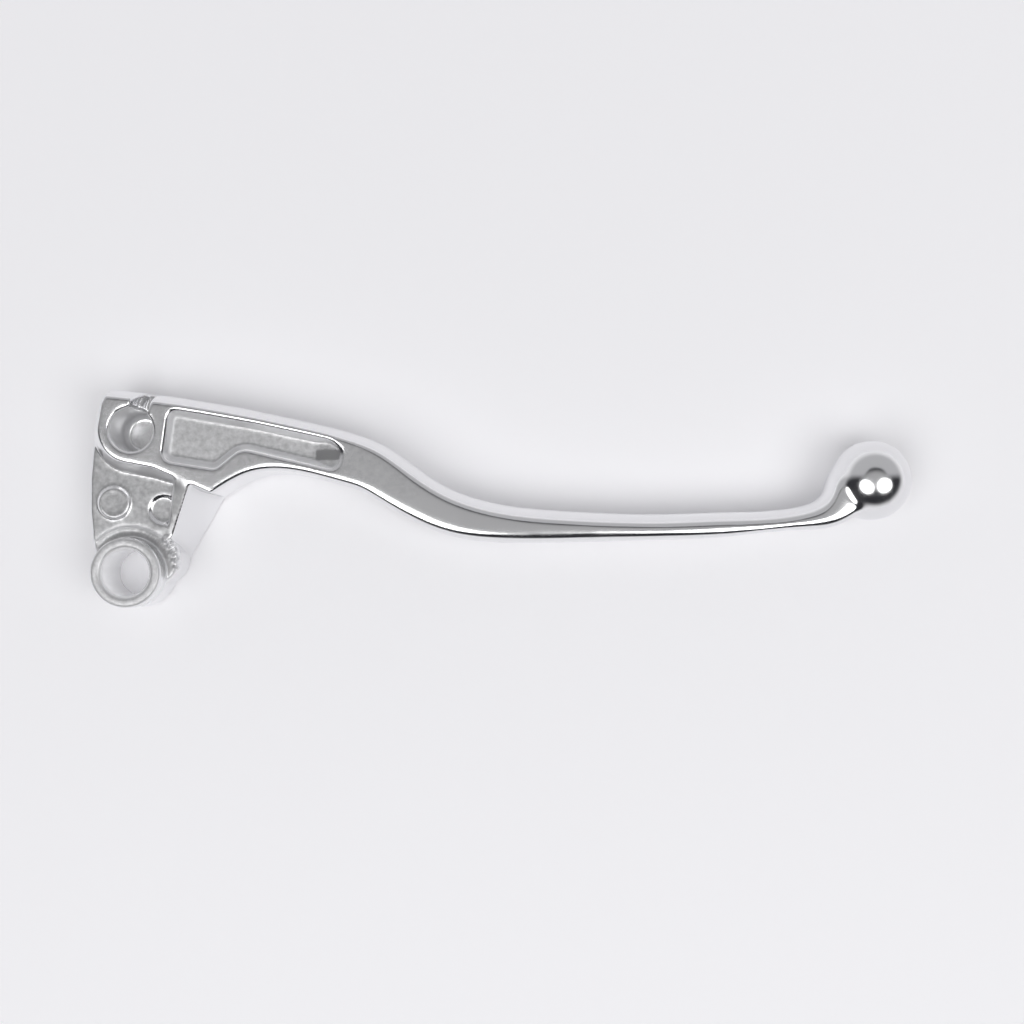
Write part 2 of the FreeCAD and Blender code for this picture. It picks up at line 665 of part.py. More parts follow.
# Round marks that the ejector pins left on the web
pad_radius = size["ejector_pad_diameter"] / 2
pad_height = size["ejector_pad_height"]
pad_rim = size["ejector_pad_rim"]
pad_sink = size["ejector_pad_sink"]
pad_sketch = polygon(upright_sketch("ejector_pad_profile",
                                    (size["ejector_pad_x"], size["ejector_pad_y"]), web_height), [
    (0.0, -pad_height),
    (pad_radius, -pad_height),
    (pad_radius, 0.0),
    (pad_radius - pad_rim, pad_height),
    (pad_radius - pad_rim * 2, pad_height - pad_sink),
    (0.0, pad_height - pad_sink),
])
spin("Revolution", "ejector_pad", pad_sketch)

dimple_radius = size["dimple_diameter"] / 2
dimple_depth = size["dimple_depth"]
dimple_sketch = polygon(upright_sketch("dimple_profile",
                                       (size["dimple_x"], size["dimple_y"]), web_height), [
    (0.0, -dimple_depth),
    (dimple_radius - dimple_depth, -dimple_depth),
    (dimple_radius, 0.0),
    (0.0, 0.0),
])
spin("Groove", "dimple", dimple_sketch)

# Badge recess in the top of the arm: its cutter starts above the top, wider by the lean
recess_over = size["recess_depth"] / 2
grown = recess_over * tangent(size["recess_lean"])
grown_turn = direction(size["sweep_radius"], grown)
front_wall = size["recess_front"] - grown
front_wall_right = size["recess_front_right"] - grown
wide_wall = size["recess_wide"] + grown
narrow_wall = size["recess_narrow"] + grown
left_wall = size["recess_left"] + grown_turn
right_wall = size["recess_right"] - grown_turn
step_wall = size["recess_step"] - grown_turn
recess_sketch = new_sketch("recess_outline", "XY_Plane", (0.0, 0.0, hub_thickness + recess_over))
rounded_polygon(recess_sketch, [
    arm_point(left_wall, front_wall),
    arm_point(left_wall, wide_wall),
    arm_point(step_wall, wide_wall),
    arm_point(step_wall - size["recess_slant"], narrow_wall),
    arm_point(right_wall, narrow_wall),
    arm_point(right_wall, front_wall_right + size["recess_cut"]),
    arm_point(right_wall + size["recess_cut_turn"], front_wall_right),
    arm_point(blend(left_wall, right_wall, 0.5), front_wall),
], size["recess_corner"] + grown)
recess = feature("Pocket", "panel_recess", recess_sketch, size["recess_depth"] + recess_over)
bind(recess, "TaperAngle", -size["recess_lean"])

# Ramp that lifts the floor of the recess to its right end
recess_floor = hub_thickness - size["recess_depth"]
ramp_top = hub_thickness - size["ramp_lip"]
ramp_end = arm_point(size["recess_right"], size["recess_front_right"])
ramp_sketch = polygon(upright_sketch("ramp_profile", ramp_end, 0.0, size["recess_right"]), [
    (-size["ramp_length"], recess_floor - OVERLAP),
    (-size["ramp_length"], recess_floor),
    (0.0, ramp_top),
    (0.0, recess_floor - OVERLAP),
])
feature("Pad", "recess_ramp", ramp_sketch, size["recess_narrow"] - size["recess_front_right"])

# Seat for the cable nipple, blind, with the slot that lets the cable in from the front
nipple_radius = size["nipple_bore_diameter"] / 2
nipple_chamfer = size["nipple_chamfer"]
nipple_floor = hub_thickness - size["nipple_depth"]
floor_bevel = size["nipple_floor_bevel"]
nipple_sketch = polygon(upright_sketch("nipple_profile", seat), [
    (0.0, nipple_floor),
    (nipple_radius - floor_bevel, nipple_floor),
    (nipple_radius, nipple_floor + floor_bevel),
    (nipple_radius, hub_thickness - nipple_chamfer),
    (nipple_radius + nipple_chamfer, hub_thickness),
    (nipple_radius + nipple_chamfer, hub_thickness + CLEARANCE),
    (0.0, hub_thickness + CLEARANCE),
])
spin("Groove", "nipple_seat", nipple_sketch)

slot_floor = hub_thickness - size["slot_depth"]
mouth_half = size["slot_mouth_width"] / 2
floor_half = size["slot_floor_width"] / 2
slot_half = mouth_half + (mouth_half - floor_half) / size["slot_depth"] * CLEARANCE
slot_sketch = polygon(upright_sketch("slot_profile", seat, 0.0, size["slot_heading"] - QUARTER_TURN), [
    (-floor_half, slot_floor),
    (floor_half, slot_floor),
    (slot_half, hub_thickness + CLEARANCE),
    (-slot_half, hub_thickness + CLEARANCE),
])
feature("Pocket", "cable_slot", slot_sketch, size["arm_width"] * 2)

# Bore for the pivot bolt, chamfered at both mouths
bore_radius = size["pivot_bore_diameter"] / 2
chamfer = size["pivot_chamfer"]
bore_sketch = polygon(upright_sketch("pivot_bore_profile"), [
    (0.0, -CLEARANCE),
    (bore_radius + chamfer, -CLEARANCE),
    (bore_radius + chamfer, 0.0),
    (bore_radius, chamfer),
    (bore_radius, hub_thickness - chamfer),
    (bore_radius + chamfer, hub_thickness),
    (bore_radius + chamfer, hub_thickness + CLEARANCE),
    (0.0, hub_thickness + CLEARANCE),
])
spin("Groove", "pivot_bore", bore_sketch)

# Test the whole document, then write the solid
doc.recompute()
failed = [item.Name for item in doc.Objects if "Invalid" in item.State or "Error" in item.State]
if failed:
    raise RuntimeError("not built: " + ", ".join(failed))
if body.Shape.isNull() or not body.Shape.isValid() or len(body.Shape.Solids) != 1:
    raise RuntimeError("the lever is not one valid solid")
os.makedirs("parts", exist_ok=True)
body.Shape.exportStep("parts/%s.step" % NODE)
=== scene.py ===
# %% [markdown]
# # A clutch lever in cast aluminium
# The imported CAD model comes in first, as a fixed frame in metres. It has the right size and every
# machined face, but its edges are knife sharp. A real casting has none: the mould, the tumbling
# drum and the polishing wheel round every edge and fill every corner. This lesson makes that soft
# skin with numpy, gives it its polished and satin finishes, and lights it like a small studio.

# %% Load the frame
import math

import bpy
import numpy as np
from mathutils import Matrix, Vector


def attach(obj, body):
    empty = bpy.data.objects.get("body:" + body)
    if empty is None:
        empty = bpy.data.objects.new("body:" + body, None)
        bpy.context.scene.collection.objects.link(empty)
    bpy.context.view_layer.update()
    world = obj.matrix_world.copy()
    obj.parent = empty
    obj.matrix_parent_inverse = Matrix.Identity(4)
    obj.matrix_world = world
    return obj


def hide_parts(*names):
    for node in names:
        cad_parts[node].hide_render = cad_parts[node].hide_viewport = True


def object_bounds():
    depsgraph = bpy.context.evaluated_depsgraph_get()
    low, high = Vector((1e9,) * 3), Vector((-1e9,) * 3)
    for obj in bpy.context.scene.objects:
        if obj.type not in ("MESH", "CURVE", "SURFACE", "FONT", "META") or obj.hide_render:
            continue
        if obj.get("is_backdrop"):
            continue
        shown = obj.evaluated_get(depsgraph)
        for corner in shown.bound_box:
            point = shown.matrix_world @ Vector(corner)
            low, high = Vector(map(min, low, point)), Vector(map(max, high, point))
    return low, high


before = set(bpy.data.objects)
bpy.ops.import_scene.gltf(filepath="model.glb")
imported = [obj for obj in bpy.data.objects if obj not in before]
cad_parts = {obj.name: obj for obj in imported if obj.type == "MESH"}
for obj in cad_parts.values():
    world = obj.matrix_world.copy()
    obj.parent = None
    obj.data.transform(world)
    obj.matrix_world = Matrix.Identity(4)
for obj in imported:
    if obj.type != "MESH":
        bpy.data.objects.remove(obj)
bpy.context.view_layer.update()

import openvdb
from mathutils import Vector

MM = 0.001

# %% [markdown]
# ## The solid as a field of distances
# The skin starts from the CAD node. Its mesh is loose triangles, so equal corners are first
# counted once. A Bevel modifier would need clean edge loops, and these long thin triangles have
# none. A distance field needs no loops: every sample of a fine block of space holds how far the
# surface is, negative inside the metal. Blender carries OpenVDB, which fills such a block.

# %% Merge a copy of the CAD node
def merged_copy(node):
    """Corners in millimetres and triangles of a CAD node, where corners that coincide are one."""
    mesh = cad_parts[node].data
    corners = np.empty(3 * len(mesh.vertices), np.float32)
    mesh.vertices.foreach_get("co", corners)
    mesh.calc_loop_triangles()
    triangles = np.empty(3 * len(mesh.loop_triangles), np.int32)
    mesh.loop_triangles.foreach_get("vertices", triangles)
    corners = corners.reshape(-1, 3).astype(float) / MM
    _, first, renamed = np.unique(np.round(corners, 4), axis=0, return_index=True, return_inverse=True)
    return corners[first], renamed.ravel()[triangles].reshape(-1, 3)


corners, triangles = merged_copy("clutch_lever")
print("merged copy:", len(corners), "corners,", len(triangles), "triangles")

# %% Fill the block of distances
STEP = 0.2
MARGIN = 2.0
BAND = 9.0

level_set = openvdb.FloatGrid.createLevelSetFromPolygons(
    corners.astype(np.float32), triangles=triangles.astype(np.uint32),
    transform=openvdb.createLinearTransform(voxelSize=STEP), halfWidth=BAND)
block_start = np.floor((corners.min(0) - MARGIN) / STEP).astype(int)
block_size = np.ceil((corners.max(0) + MARGIN) / STEP).astype(int) - block_start + 1
distance = np.empty(block_size, np.float32)
level_set.copyToArray(distance, ijk=tuple(int(v) for v in block_start))
print("block of", distance.shape, "samples, from", distance.min(), "to", distance.max(), "mm")

# %% [markdown]
# ## Rounding the edges
# A tumbled and buffed casting has no sharp edge left. Each edge could be filleted in the CAD, one
# by one. The mean of the distances over a small ball does all of them at once: it rounds outer edges
# and fills inner corners by the same radius, and leaves flat faces where they are. A bell-shaped
# mean can be taken one axis at a time, so it stays quick. The blade and the joint of neck and ball
# were buffed longer, so a wider mean takes over there.

# %% Soften the field
def softened(field, width):
    """Bell-weighted mean of a field: each sample becomes the sum of its neighbours along an axis,
    weighted by exp(-(offset / width)^2 / 2), one axis after another."""
    reach = int(math.ceil(3 * width))
    offsets = np.arange(-reach, reach + 1)
    weights = np.exp(-0.5 * (offsets / width) ** 2)
    weights = (weights / weights.sum()).astype(np.float32)
    for axis in range(3):
        turned = np.moveaxis(field, axis, 0)
        padded = np.concatenate([turned[:1]] * reach + [turned] + [turned[-1:]] * reach)
        mean = np.zeros_like(turned)
        for start, weight in enumerate(weights):
            mean += weight * padded[start:start + len(turned)]
        field = np.moveaxis(mean, 0, axis)
    return np.ascontiguousarray(field)


EDGE = 0.32
BLEND = 0.85
fine = softened(distance, EDGE / STEP)
wide = softened(fine, BLEND / STEP)
print("edges softened by", EDGE, "mm, and more widely by", BLEND, "mm")

# %% Choose between the two softenings
BALL = (159.47, 20.0, 8.65)
JOINT_REACH, JOINT_WIDTH = 9.2, 2.6
BLADE_START, BLADE_FADE, BLADE_SHARE = 47.0, 14.0, 0.8

axes = [(block_start[k] + np.arange(block_size[k])) * STEP for k in range(3)]
X, Y, Z = np.meshgrid(*axes, indexing="ij", sparse=True)
from_ball = np.sqrt((X - BALL[0]) ** 2 + (Y - BALL[1]) ** 2 + (Z - BALL[2]) ** 2)
near_joint = np.exp(-((from_ball - JOINT_REACH) / JOINT_WIDTH) ** 2) * (X < BALL[0] + 2)
on_blade = BLADE_SHARE * np.clip((X - BLADE_START) / BLADE_FADE, 0, 1)
skin = (fine + np.maximum(near_joint, on_blade) * (wide - fine)).astype(np.float32)
print("wide softening at the ball's joint and from", BLADE_START, "mm on along the blade")

# %% [markdown]
# ## Marks of the spot-facing cutter
# Round the boss a cutter has turned the web flat. It left one shallow ring inside its rim, and
# where it broke out over the side of the web it left a row of small torn teeth. They could be
# pieces of their own, but then they would have seams. They stand so low that they can be added to
# the field itself: a little more distance sinks the skin, a little less raises it. The pivot is at
# the origin, so the marks are written in radius and angle.

# %% Add the cutter marks
MARK_LEVEL, MARK_HEIGHT = 10.6, 1.0
RING, RING_WIDTH, RING_DEPTH = 8.95, 0.24, 0.13
RIM, RIM_WIDTH = 10.5, 0.8
ROW_MIDDLE, ROW_REACH = 0.36, 0.52
TEETH = np.radians([-4.0, 5.0, 15.0, 24.5, 35.0, 43.2])
WIDTHS = np.array([0.40, 0.55, 0.42, 0.60, 0.45, 0.55])

from_pivot = np.sqrt(X ** 2 + Y ** 2)
angle = np.arctan2(Y, X)
near_web = np.exp(-((Z - MARK_LEVEL) / MARK_HEIGHT) ** 4)
groove = RING_DEPTH * np.exp(-((from_pivot - RING) / RING_WIDTH) ** 2)
teeth = sum(np.exp(-((angle - middle) * RIM / width) ** 2) for middle, width in zip(TEETH, WIDTHS))
row = np.exp(-((from_pivot - RIM) / RIM_WIDTH) ** 2) * np.exp(-((angle - ROW_MIDDLE) / ROW_REACH) ** 6)
skin = (skin + near_web * (groove + row * (0.5 - teeth))).astype(np.float32)
print("one ring at radius", RING, "mm and", len(TEETH), "torn teeth at radius", RIM, "mm")

# %% [markdown]
# ## Drawing the zero surface
# The metal's skin is where the field is zero. Marching cubes could draw it, but that leaves many
# slivers, which show in a mirror finish. Here every grid edge between an inside and an outside
# sample is cut once. A corner is put at the mean of the cuts round each cell, and each cut edge gets
# the quad of its four cells. The grid is fine at the hub and the ball, and long along the blade,
# where the shape hardly changes from one step to the next.

# %% Sample the field on a graded grid
def graded(stops):
    """Samples from stop to stop: (place, step, place, step, ..., place), each run in equal steps."""
    runs = [np.linspace(a, b, max(2, int(round((b - a) / s)) + 1))[:-1]
            for a, s, b in zip(stops[0::2], stops[1::2], stops[2::2])]
    return np.concatenate(runs + [np.array([stops[-1]])])


def sampled(field):
    """The field on the graded grid: linear along one axis after another."""
    for axis in range(3):
        place = grid[axis] / STEP - block_start[axis]
        base = np.clip(np.floor(place).astype(int), 0, block_size[axis] - 2)
        part = (place - base).astype(np.float32)
        part = part.reshape([-1 if k == axis else 1 for k in range(3)])
        field = np.take(field, base, axis) * (1 - part) + np.take(field, base + 1, axis) * part
    return field


HUB_STEP, BEND_STEP, BLADE_STEP, BALL_STEP, CROSS_STEP = 0.32, 0.46, 0.72, 0.38, 0.34
HUB_END, BEND_END, BLADE_END = 37.0, 62.0, 147.0
low, high = corners.min(0) - 1, corners.max(0) + 1
grid = [graded([low[0], HUB_STEP, HUB_END, BEND_STEP, BEND_END, BLADE_STEP, BLADE_END, BALL_STEP, high[0]]),
        graded([low[1], CROSS_STEP, high[1]]),
        graded([low[2], CROSS_STEP, high[2]])]
coarse = sampled(skin)
print("graded grid:", coarse.shape)

# %% Turn the zero surface into quads
def zero_surface(field):
    """Quads round every grid edge whose ends differ in sign. A cut lies at a / (a - b) along its
    edge, and a cell's corner is the mean of the cuts on its edges."""
    cells = np.array(field.shape) - 1
    place = np.zeros((cells.prod(), 3))
    count = np.zeros(cells.prod())
    quads = []
    for axis in range(3):
        size = field.shape[axis]
        near = np.take(field, range(size - 1), axis)
        far = np.take(field, range(1, size), axis)
        cut = (near < 0) != (far < 0)
        index = np.stack(np.nonzero(cut), 1)
        share = near[cut] / (near[cut] - far[cut])
        point = np.stack([grid[k][index[:, k]] for k in range(3)], 1)
        point[:, axis] += share * np.diff(grid[axis])[index[:, axis]]
        across, along = np.eye(3, dtype=int)[(axis + 1) % 3], np.eye(3, dtype=int)[(axis + 2) % 3]
        ring = [np.ravel_multi_index((index - step).T, cells)
                for step in (across + along, along, 0 * along, across)]
        for cell in ring:
            for k in range(3):
                place[:, k] += np.bincount(cell, point[:, k], len(place))
            count += np.bincount(cell, minlength=len(place))
        ring = np.stack(ring, 1)
        quads.append(np.where((near[cut] < 0)[:, None], ring, ring[:, ::-1]))
    used = np.flatnonzero(count)
    renamed = np.zeros(len(place), int)
    renamed[used] = np.arange(len(used))
    return place[used] / count[used, None], renamed[np.concatenate(quads)]


points, quads = zero_surface(coarse)
print("skin:", len(points), "corners,", 2 * len(quads), "triangles")

# %% Draw the corners onto the skin
def read(field, points):
    """Field value at points, from the eight samples round each, weighted by nearness on each axis."""
    place = points / STEP - block_start
    base = np.clip(np.floor(place).astype(int), 0, block_size - 2)
    part = place - base
    total = np.zeros(len(points))
    for corner in np.ndindex(2, 2, 2):
        index = base + corner
        weight = np.prod(np.where(corner, part, 1 - part), axis=1)
        total += weight * field[index[:, 0], index[:, 1], index[:, 2]]
    return total


def slope(field, points):
    """Gradient of the field at points, from the values half a step to either side on each axis."""
    moves = 0.5 * STEP * np.eye(3)
    return np.stack([(read(field, points + m) - read(field, points - m)) / STEP for m in moves], 1)


for _ in range(3):
    steep = slope(skin, points)
    points -= (read(skin, points) / np.maximum((steep ** 2).sum(1), 0.2))[:, None] * steep
normals = slope(skin, points)
normals /= np.maximum(np.linalg.norm(normals, axis=1, keepdims=True), 1e-9)
print("corners lie within", np.abs(read(skin, points)).max().round(4), "mm of the zero surface")

# %% [markdown]
# ## Where the finishes lie
# The flanks, the blade and the ball are buffed to a mirror. The upper face of the arm and the hub
# is only linished, so it stays satin. The web, the step down to it and the sunken panel keep the skin
# of the mould. The boss is turned, and the walls of the bore and the nipple seat are reamed, which
# leaves them pale and less like a mirror. Separate materials could do this, but their borders would
# be hard. Here each face is a number per corner, worked out from where the corner is and how it
# faces, and it fades out softly at its border.

# %% Find the faces of the casting
def ramp(value, start, end):
    """0 at start, 1 at end, and between them 3t^2 - 2t^3, which starts and stops gently."""
    t = np.clip((value - start) / (end - start), 0, 1)
    return t * t * (3 - 2 * t)


def between(value, start, full, leave, end):
    """0 up to start, 1 from full to leave, and 0 again past end."""
    return ramp(value, start, full) * (1 - ramp(value, leave, end))


UPRIGHT = (0.86, 0.985)
HUB_FADE = (26, 18)
ARM_FADE = (74, 40)
COVER = (-0.3, -1.0)

x, y, z = points.T
lean = normals[:, 2]
radius = np.hypot(x, y)
facing_up = ramp(lean, *UPRIGHT)
facing_out = 1 - facing_up
at_hub = ramp(x, *HUB_FADE)
on_arm = ramp(x, *ARM_FADE)
beside_and_below = points + normals * (3.0, 3.0, 0.0) - (0.0, 0.0, 5.0)
over_metal = ramp(read(fine, beside_and_below), *COVER)
print("corners that face up:", int(facing_up.sum()), "and that stand over metal:", int(over_metal.sum()))

# %% Number the faces
WEB_HEIGHT, WEB_INNER, WEB_CUT = (8.6, 9.6, 11.9, 12.4), (7.2, 7.6), (11.6, 11.2)
STEP_HEIGHT, STEP_INNER = (10.9, 11.4, 14.3, 14.8), (9.0, 10.0)
PANEL_LENGTH, PANEL_HEIGHT, PANEL_LEAN = (8.6, 9.0, 47.5, 48.5), (12.0, 12.6, 14.3, 14.8), (-0.1, 0.3)
RAMP_START, RAMP_MIDDLE, RAMP_EDGE = (40.0, 40.4), 25.0, (1.25, 0.9)
RIB_HEIGHT, RIB_END = (11.5, 12.0, 14.4, 14.9), (21.5, 20.5)
RIB_HEAD, RIB_HEAD_SIZE, RIB_HEAD_HEIGHT = (11.3, 19.1), 1.5, (11.0, 12.0)
BOSS_HEIGHT, BOSS_EDGE = (14.5, 14.8), (7.9, 7.6)
FOOT_LEAN, FOOT_END = (0.86, 0.98), (80, 45)
SEAT, SEAT_EDGE = (1.2, 30.3), (4.95, 4.6)
PIVOT_EDGE = (5.6, 5.2)

web = at_hub * between(z, *WEB_HEIGHT) * ramp(radius, *WEB_INNER)
web *= np.maximum(facing_up, ramp(radius, *WEB_CUT))
step = at_hub * between(z, *STEP_HEIGHT) * facing_out * ramp(radius, *STEP_INNER) * over_metal
panel = between(x, *PANEL_LENGTH) * between(z, *PANEL_HEIGHT) * ramp(lean, *PANEL_LEAN) * over_metal
# Painted dark reflection: the rising end of the panel is darkened to stand in for the dark room mirrored in
# it, and made smoother so that it mirrors more of it.
ramp_dark_reflection = panel * facing_up * ramp(x, *RAMP_START) * ramp(np.abs(y - RAMP_MIDDLE), *RAMP_EDGE)
rib = at_hub * facing_up * between(z, *RIB_HEIGHT) * ramp(y, *RIB_END)
# Painted shade: a soft spot at the head of the rib is darkened and roughened, so that a lamp's highlight
# there is damped.
rib_head_shade = np.hypot(x - RIB_HEAD[0], y - RIB_HEAD[1]) / RIB_HEAD_SIZE
rib_head_shade = np.exp(-rib_head_shade ** 2) * ramp(z, *RIB_HEAD_HEIGHT)
boss_top = ramp(z, *BOSS_HEIGHT) * ramp(radius, *BOSS_EDGE)
foot = ramp(-lean, *FOOT_LEAN) * ramp(x, *FOOT_END)
seat = ramp(np.hypot(x - SEAT[0], y - SEAT[1]), *SEAT_EDGE) * facing_out
pivot = ramp(radius, *PIVOT_EDGE) * facing_out
print("corners on the web", int(web.sum()), "panel", int(panel.sum()), "boss", int(boss_top.sum()))

# %% Mix the finishes
# Most darkness numbers are the own tone of cast faces; the rib's head and the panel's ramp carry painted
# shade and a painted dark reflection.
FACES = [
    # face, how much of the mould's grain it has, how dark it is
    (web, 0.5, 0.0),
    (web * facing_up, 0.0, 1.5),
    (step, 0.35, 0.0),
    (panel, 0.5, 0.0),
    (panel * facing_up, 0.0, 1.05),
    # painted dark reflection on the panel's ramp
    (ramp_dark_reflection, -0.28, 2.2),
    (rib, 0.0, 1.4),
    # painted shade over the highlight at the rib's head
    (rib_head_shade, 0.5, 1.5),
    (boss_top, 0.6, 0.8),
    (foot, 0.5, 0.0),
    (seat, 0.4, 0.0),
]
# Painted shade: where the widely softened field says a corner lies in a hollow or inner corner, its colour
# is darkened.
HOLLOW_START, HOLLOW_END = 0.02, -0.30

finishes = {
    "satin": facing_up * on_arm,
    "cast": np.clip(sum(face * grain for face, grain, _ in FACES), 0, 1),
    "dark_tone_and_shade": np.clip(sum(face * dark for face, _, dark in FACES), 0, 2.2),
    "bore": np.maximum(pivot, 0.85 * seat),
    "hollow": np.clip((read(wide, points) - HOLLOW_START) / (HOLLOW_END - HOLLOW_START), 0, 1),
}
print("mean of each finish:", {key: round(float(values.mean()), 3) for key, values in finishes.items()})

# %% [markdown]
# ## The skin as a piece
# The arrays go into one mesh, with a number per corner for every finish. It could be joined to the
# CAD mesh, but that one stays as it is for the physics. So the skin is a piece of its own, which sits
# at the origin, rides on the lever's only body and stands for the CAD node.

# %% Put the skin into a mesh
def new_piece(name, corners_mm, faces, numbers):
    """A mesh object at the origin, with smooth faces and one attribute per named array."""
    mesh = bpy.data.meshes.new(name)
    mesh.from_pydata((corners_mm * MM).tolist(), [], faces.tolist())
    mesh.polygons.foreach_set("use_smooth", np.ones(len(faces), bool))
    for key, values in numbers.items():
        mesh.attributes.new(key, "FLOAT", "POINT").data.foreach_set("value", values.astype(np.float32))
    mesh.update()
    piece = bpy.data.objects.new(name, mesh)
    bpy.context.scene.collection.objects.link(piece)
    return piece


lever = new_piece("lever_skin", points, quads, finishes)
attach(lever, "root")
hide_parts("clutch_lever")
print("lever_skin stands for the CAD node")

# %% [markdown]
# ## The aluminium
# Bare aluminium is a metal whose whole colour is in its reflections, so its detail is mostly in
# how rough it is. Buffed metal still has smears and hairlines, linished metal has short strokes
# along the lever, and a mould leaves a fine grain. Painted maps could show these, but they would need
# an unwrapped mesh. Noise in object space needs none, and the finishes decide which one shows.

# %% Node helpers
def add(tree, kind, **values):
    """A node of that kind, with properties and unlinked inputs set by name."""
    node = tree.nodes.new(kind)
    for key, value in values.items():
        if hasattr(node, key):
            setattr(node, key, value)
        else:
            node.inputs[key.replace("_", " ")].default_value = value
    return node


def math_node(tree, operation, *values):
    """One sum of two or three values, each a socket or a plain number."""
    node = add(tree, "ShaderNodeMath", operation=operation)
    for socket, value in zip(node.inputs, values):
        if isinstance(value, (int, float)):
            socket.default_value = value
        else:
            tree.links.new(value, socket)
    return node.outputs[0]


def fade(tree, value, start, end, low=0.0, high=1.0):
    """Low before start and high past end, gently, of a socket."""
    node = add(tree, "ShaderNodeMapRange", interpolation_type="SMOOTHSTEP",
               From_Min=start, From_Max=end, To_Min=low, To_Max=high)
    tree.links.new(value, node.inputs["Value"])
    return node.outputs["Result"]


def noise(tree, vector, scale, detail, stretch):
    """Noise about one over scale metres across, drawn out along an axis by a small stretch number."""
    mapping = add(tree, "ShaderNodeMapping", Scale=stretch)
    tree.links.new(vector, mapping.inputs["Vector"])
    node = add(tree, "ShaderNodeTexNoise", Scale=scale, Detail=detail, Roughness=0.55)
    tree.links.new(mapping.outputs["Vector"], node.inputs["Vector"])
    return node.outputs["Fac"]


# %% Say how rough, how dark and how rippled the metal is
def metal_roughness(tree, part, pattern):
    """Polish plus smears, mixed towards linished plus mottle by satin, plus the grain of the mould."""
    rough = add(tree, "ShaderNodeMix", data_type="FLOAT")
    tree.links.new(part["satin"], rough.inputs["Factor"])
    tree.links.new(math_node(tree, "MULTIPLY_ADD", pattern["smear"], 0.12, 0.10), rough.inputs["A"])
    tree.links.new(math_node(tree, "MULTIPLY_ADD", pattern["mottle"], 0.14, 0.13), rough.inputs["B"])
    return math_node(tree, "ADD", rough.outputs[0], math_node(tree, "MULTIPLY", part["cast"], 0.55))


def metal_tone(tree, part, pattern):
    """Bright aluminium, darkened by the mottle of satin faces, by the darker tone of cast faces, by painted
    shade at the rib's head, by a painted dark reflection at the panel's ramp, and by painted shade in
    hollows.
    """
    tone = add(tree, "ShaderNodeMix", data_type="RGBA")
    tone.inputs["A"].default_value = (0.86, 0.86, 0.87, 1)
    tone.inputs["B"].default_value = (0.36, 0.36, 0.365, 1)
    spots = math_node(tree, "MULTIPLY", math_node(tree, "SUBTRACT", pattern["mottle"], 0.3), 0.9)
    shade = math_node(tree, "MULTIPLY", part["satin"], spots)
    # darker tone of cast faces, plus painted shade at the rib's head and a painted dark reflection at the
    # panel's ramp
    shade = math_node(tree, "ADD", shade, math_node(tree, "MULTIPLY", part["dark_tone_and_shade"], 0.45))
    # painted shade in hollows, up to a quarter of the way to the dark tone
    shade = math_node(tree, "MAXIMUM", shade, math_node(tree, "MULTIPLY", part["hollow"], 0.25))
    tree.links.new(shade, tone.inputs["Factor"])
    return tone.outputs["Result"]


def metal_relief(tree, part, pattern):
    """Strokes, strong on satin faces and faint elsewhere, plus the pits of the mould, as a bump."""
    strength = math_node(tree, "MULTIPLY_ADD", part["satin"], 0.5, 0.03)
    lines = math_node(tree, "MULTIPLY", pattern["stroke"], strength)
    pits = math_node(tree, "MULTIPLY", pattern["grain"], math_node(tree, "MULTIPLY", part["cast"], 1.6))
    bump = add(tree, "ShaderNodeBump", Strength=0.35, Distance=0.00006)
    tree.links.new(math_node(tree, "ADD", lines, pits), bump.inputs["Height"])
    return bump.outputs["Normal"]


# %% Make the aluminium
PATTERNS = {
    # name: waves in a metre, detail, stretch
    "smear": (160.0, 3.0, (1.0, 1.0, 1.0)),
    "mottle": (900.0, 4.0, (1.0, 1.0, 1.0)),
    "stroke": (2600.0, 3.0, (0.06, 1.0, 1.0)),
    "grain": (3200.0, 2.0, (1.0, 1.0, 1.0)),
}

metal = bpy.data.materials.new("polished_cast_aluminium")
metal.use_nodes = True
tree = metal.node_tree
shader = tree.nodes["Principled BSDF"]
place = add(tree, "ShaderNodeTexCoord").outputs["Object"]
part = {key: add(tree, "ShaderNodeAttribute", attribute_name=key).outputs["Fac"] for key in finishes}
pattern = {key: noise(tree, place, *values) for key, values in PATTERNS.items()}
tree.links.new(math_node(tree, "MULTIPLY_ADD", part["bore"], -0.7, 1.0), shader.inputs["Metallic"])
tree.links.new(metal_roughness(tree, part, pattern), shader.inputs["Roughness"])
tree.links.new(metal_tone(tree, part, pattern), shader.inputs["Base Color"])
tree.links.new(metal_relief(tree, part, pattern), shader.inputs["Normal"])

lever.data.materials.append(metal)
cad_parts["clutch_lever"].data.materials.clear()
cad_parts["clutch_lever"].data.materials.append(metal)
print("aluminium with", len(tree.nodes), "nodes")

# %% [markdown]
# ## The floor
# Polished metal shows the room more than itself, and most of this room is the pale paper that the
# lever lies on. Lamps close to the lever leave the far paper grey. More lamps would brighten it, but
# they would also show in the metal. So the paper is lifted a little where the camera or a reflection
# sees it, and more with distance from the spot between the lamps.

# %% Lay the floor
def floor_sheet(size, count):
    """A flat square sheet of count by count quads."""
    line = np.linspace(-size / 2, size / 2, count + 1)
    gx, gy = np.meshgrid(line, line, indexing="ij")
    sheet = np.stack([gx.ravel(), gy.ravel(), np.zeros(gx.size)], 1) / MM
    number = np.arange(gx.size).reshape(gx.shape)
    faces = np.stack([number[:-1, :-1], number[1:, :-1], number[1:, 1:], number[:-1, 1:]], -1)
    return sheet, faces.reshape(-1, 4)


floor = new_piece("floor", *floor_sheet(6.0, 4), {})
floor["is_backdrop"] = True
print("floor of", len(floor.data.polygons), "quads")

# %% Make the paper
PAPER = (0.93, 0.925, 0.945, 1)
LIT_SPOT = (0.08, -0.3, 0.0)
NEAR_LIFT, FAR_LIFT = 0.07, 0.53

